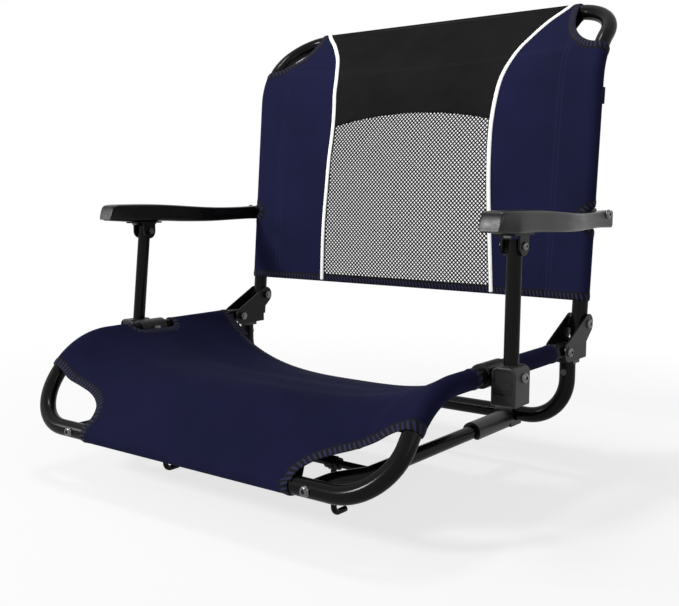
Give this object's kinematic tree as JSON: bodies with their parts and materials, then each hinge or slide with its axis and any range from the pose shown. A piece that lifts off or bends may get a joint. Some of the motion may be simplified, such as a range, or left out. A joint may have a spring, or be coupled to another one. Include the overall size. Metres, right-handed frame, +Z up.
{
  "type": "stadium seat",
  "caption": "Folding stadium seat with armrests: cloth slings on a bent tube frame, runners on a bench and swinging hooks that catch the bench's front edge.",
  "frame": {"origin": "middle of the bench's front top edge: the runners rest on z = 0 and the hooks' rear faces lie on y = 0", "axes": "+X to the right as seen from the front, +Y to the back of the bench, +Z up"},
  "size_m": [0.6098, 0.5406, 0.5828],
  "materials": {
    "black_frame": "gloss black powder coat",
    "black_steel": "satin black coat",
    "dark_fasteners": "dark zinc",
    "moulded_black": "fine matte grain",
    "nylon": "smooth",
    "insert_steel": "zinc",
    "arm_plastic": "satin moulded grain",
    "navy_cloth": "plain woven polyester",
    "black_cloth": "plain woven polyester",
    "black_net": "open knitted net",
    "white_piping": "smooth piping"
  },
  "bodies": {
    "base": {"seat_frame_tube": "black_frame", "rail_end_plugs": "moulded_black", "rear_leg_tube": "black_frame", "leg_top_plugs": "moulded_black", "leg_rivets": "dark_fasteners", "hinge_bracket_left": "black_steel", "hinge_bracket_right": "black_steel", "rail_bolts": "dark_fasteners", "rail_bolt_nuts": "dark_fasteners", "rail_bolt_washers": "nylon", "back_pivot_bolts": "dark_fasteners", "back_pivot_nuts": "dark_fasteners", "back_pivot_washers": "nylon", "back_stop_pins": "dark_fasteners", "rail_clamp_left": "moulded_black", "rail_clamp_right": "moulded_black", "post_pivot_bolts": "dark_fasteners", "post_pivot_nuts": "dark_fasteners", "runner_tube_left": "black_frame", "runner_tube_right": "black_frame", "runner_foot_left": "moulded_black", "runner_foot_right": "moulded_black", "runner_end_inserts": "insert_steel", "front_runner_bolts": "dark_fasteners", "foot_screws": "dark_fasteners", "hook_bar": "black_steel", "hook_collars": "moulded_black", "seat_sling": "navy_cloth"},
    "back": {"back_frame_tube": "black_frame", "back_end_plugs": "moulded_black", "back_panel_left": "navy_cloth", "back_panel_right": "navy_cloth", "back_panel_top": "black_cloth", "back_mesh": "black_net", "back_piping_left": "white_piping", "back_piping_right": "white_piping", "back_side_tab": "black_cloth", "arm_pivot_bolts": "dark_fasteners", "arm_pivot_nuts": "dark_fasteners", "arm_pivot_spacers": "nylon"},
    "post_left": {"post_tube_left": "black_frame", "post_socket_left": "moulded_black"},
    "arm_left": {"armrest_left": "arm_plastic", "arm_clevis_left": "black_steel", "clevis_bolt_left": "dark_fasteners", "clevis_nut_left": "dark_fasteners", "clevis_screws_left": "dark_fasteners"},
    "hook_left": {"hook_left": "black_steel"},
    "post_right": {"post_tube_right": "black_frame", "post_socket_right": "moulded_black"},
    "arm_right": {"armrest_right": "arm_plastic", "arm_clevis_right": "black_steel", "clevis_bolt_right": "dark_fasteners", "clevis_nut_right": "dark_fasteners", "clevis_screws_right": "dark_fasteners"},
    "hook_right": {"hook_right": "black_steel"}
  },
  "joints": [
    {"name": "back_fold", "type": "hinge", "parent": "base", "child": "back", "pos_m": [0, 0.316, 0.132], "axis": [1, 0, 0], "range_deg": [0, 91]},
    {"name": "post_left_fold", "type": "hinge", "parent": "base", "child": "post_left", "pos_m": [0, 0.0915, 0.1045], "axis": [1, 0, 0], "range_deg": [0, 91]},
    {"name": "post_right_fold", "type": "hinge", "parent": "base", "child": "post_right", "pos_m": [0, 0.0915, 0.1045], "axis": [1, 0, 0], "range_deg": [0, 91]},
    {"name": "arm_left_level", "type": "hinge", "parent": "back", "child": "arm_left", "pos_m": [0, 0.32713, 0.26453], "axis": [1, 0, 0], "range_deg": [-91, 0]},
    {"name": "arm_right_level", "type": "hinge", "parent": "back", "child": "arm_right", "pos_m": [0, 0.32713, 0.26453], "axis": [1, 0, 0], "range_deg": [-91, 0]},
    {"name": "hook_left_swing", "type": "hinge", "parent": "base", "child": "hook_left", "pos_m": [0, -0.00325, 0.008], "axis": [1, 0, 0], "range_deg": [-60, 90]},
    {"name": "hook_right_swing", "type": "hinge", "parent": "base", "child": "hook_right", "pos_m": [0, -0.00325, 0.008], "axis": [1, 0, 0], "range_deg": [-60, 90]}
  ],
  "couplings": [
    {"joint": "post_left_fold", "follows": "back_fold", "ratio": 1},
    {"joint": "post_right_fold", "follows": "back_fold", "ratio": 1},
    {"joint": "arm_left_level", "follows": "back_fold", "ratio": -1},
    {"joint": "arm_right_level", "follows": "back_fold", "ratio": -1}
  ]
}
